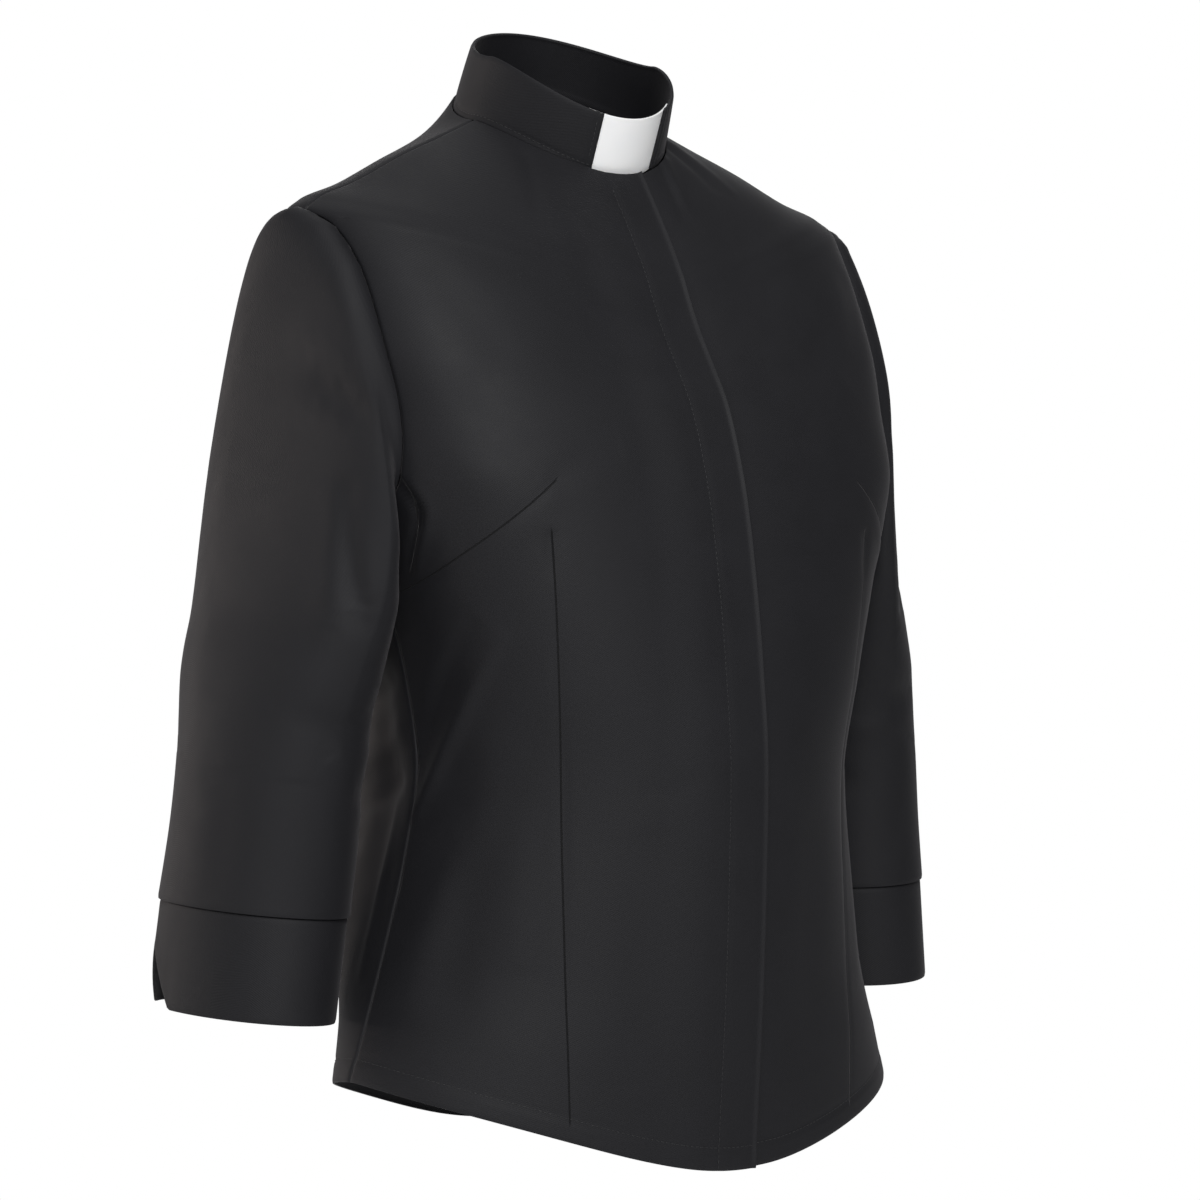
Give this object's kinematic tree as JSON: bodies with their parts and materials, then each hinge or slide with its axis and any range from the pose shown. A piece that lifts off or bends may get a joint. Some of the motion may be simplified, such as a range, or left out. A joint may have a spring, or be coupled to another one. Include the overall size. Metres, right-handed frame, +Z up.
{
  "type": "clergy shirt",
  "caption": "Fitted clergy shirt with a standing collar and tab, lapped front, bust and waist darts, three-quarter sleeves with notched cuffs and a curved hem, as worn",
  "frame": {"origin": "the middle of the neck opening, at the height of the collar's seam at the sides, where the wearer's neck carries the shirt", "axes": "+Z up along the standing wearer, -Y the way the front faces, +X the wearer's left"},
  "size_m": [0.539, 0.2665, 0.6712],
  "materials": {
    "suiting_cloth": "matte",
    "tab_plastic": "gloss"
  },
  "bodies": {
    "root": {"right_front": "suiting_cloth", "left_front": "suiting_cloth", "back": "suiting_cloth", "right_sleeve": "suiting_cloth", "left_sleeve": "suiting_cloth", "right_cuff": "suiting_cloth", "left_cuff": "suiting_cloth", "collar_stand": "suiting_cloth", "collar_tab": "tab_plastic"}
  },
  "joints": []
}
